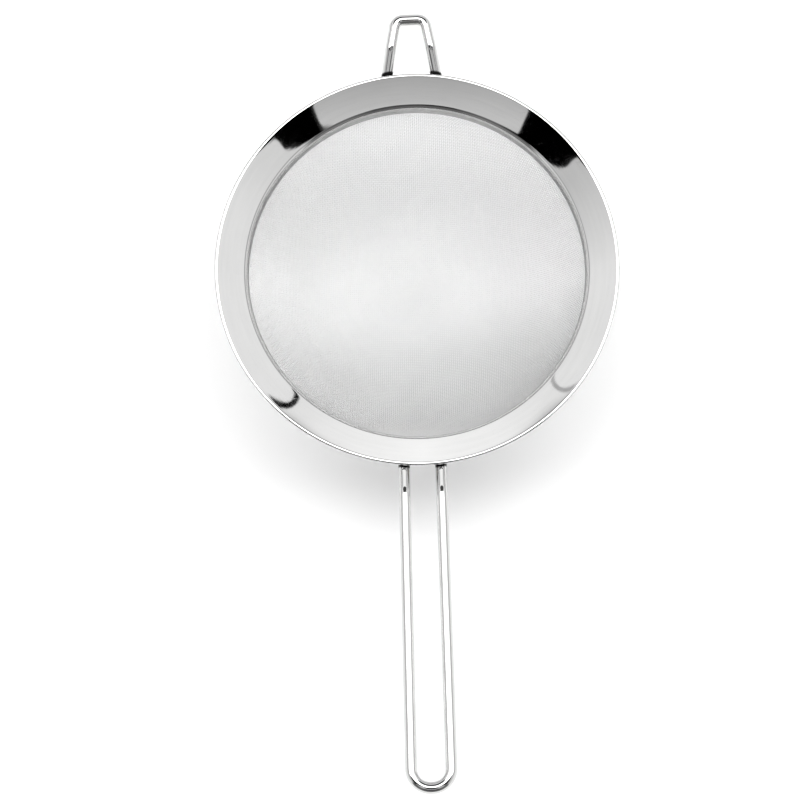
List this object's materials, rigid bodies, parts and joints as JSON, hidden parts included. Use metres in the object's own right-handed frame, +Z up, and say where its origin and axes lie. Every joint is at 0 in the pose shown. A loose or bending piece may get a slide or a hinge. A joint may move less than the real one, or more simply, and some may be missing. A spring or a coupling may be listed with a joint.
{
  "type": "tea strainer",
  "caption": "Round tea strainer: a bowl of woven wire cloth clamped in a wide polished rim, with a looped wire handle and a short wire rest opposite.",
  "frame": {"origin": "centre of the mouth, on the plane of the lip's flat top", "axes": "+Z up out of the bowl, the handle runs along -Y and the rest along +Y, +X completes the frame"},
  "size_m": [0.08, 0.1562, 0.0322],
  "materials": {
    "polished_steel": "mirror-polished stainless steel sheet, not plated",
    "wire_cloth": "fine woven stainless steel wire, bright drawn",
    "wire_steel": "polished stainless steel wire, not plated",
    "weld_steel": "weld metal as left by the welder, dull"
  },
  "bodies": {
    "root": {"rim_ring": "polished_steel", "backing_ring": "polished_steel", "mesh_bowl": "wire_cloth", "handle_wire": "wire_steel", "rest_loop": "wire_steel", "handle_welds": "weld_steel", "rest_welds": "weld_steel"}
  },
  "joints": []
}
